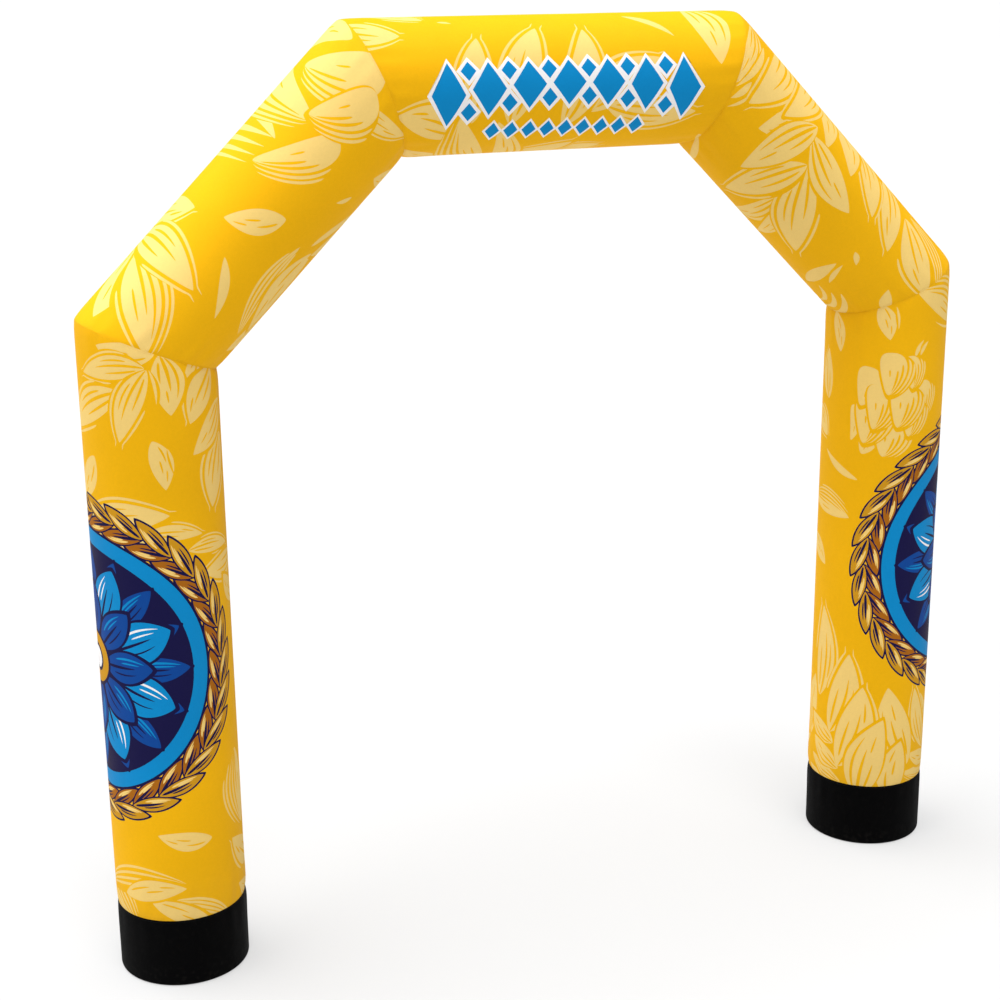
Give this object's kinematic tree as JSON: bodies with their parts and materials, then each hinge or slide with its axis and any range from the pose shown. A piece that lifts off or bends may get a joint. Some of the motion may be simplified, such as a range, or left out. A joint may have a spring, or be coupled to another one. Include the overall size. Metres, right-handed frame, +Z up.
{
  "type": "inflatable arch",
  "caption": "Air-filled cloth archway: two upright round legs, sloping shoulders and a level crossbeam with mitred seams, on flat-bottomed dark foot bands.",
  "frame": {"origin": "on the ground, midway between the two feet", "axes": "+Z up, +X along the span of the arch, -Y out of the printed front"},
  "size_m": [5.7808, 0.8023, 5.74],
  "materials": {
    "printed_cloth": "printed woven polyester, golden yellow with pale leaves, satin",
    "band_cloth": "heavy black woven cloth, matt"
  },
  "bodies": {
    "root": {"foot_band_left": "band_cloth", "leg_left": "printed_cloth", "shoulder_left": "printed_cloth", "crossbeam": "printed_cloth", "shoulder_right": "printed_cloth", "leg_right": "printed_cloth", "foot_band_right": "band_cloth"}
  },
  "joints": []
}
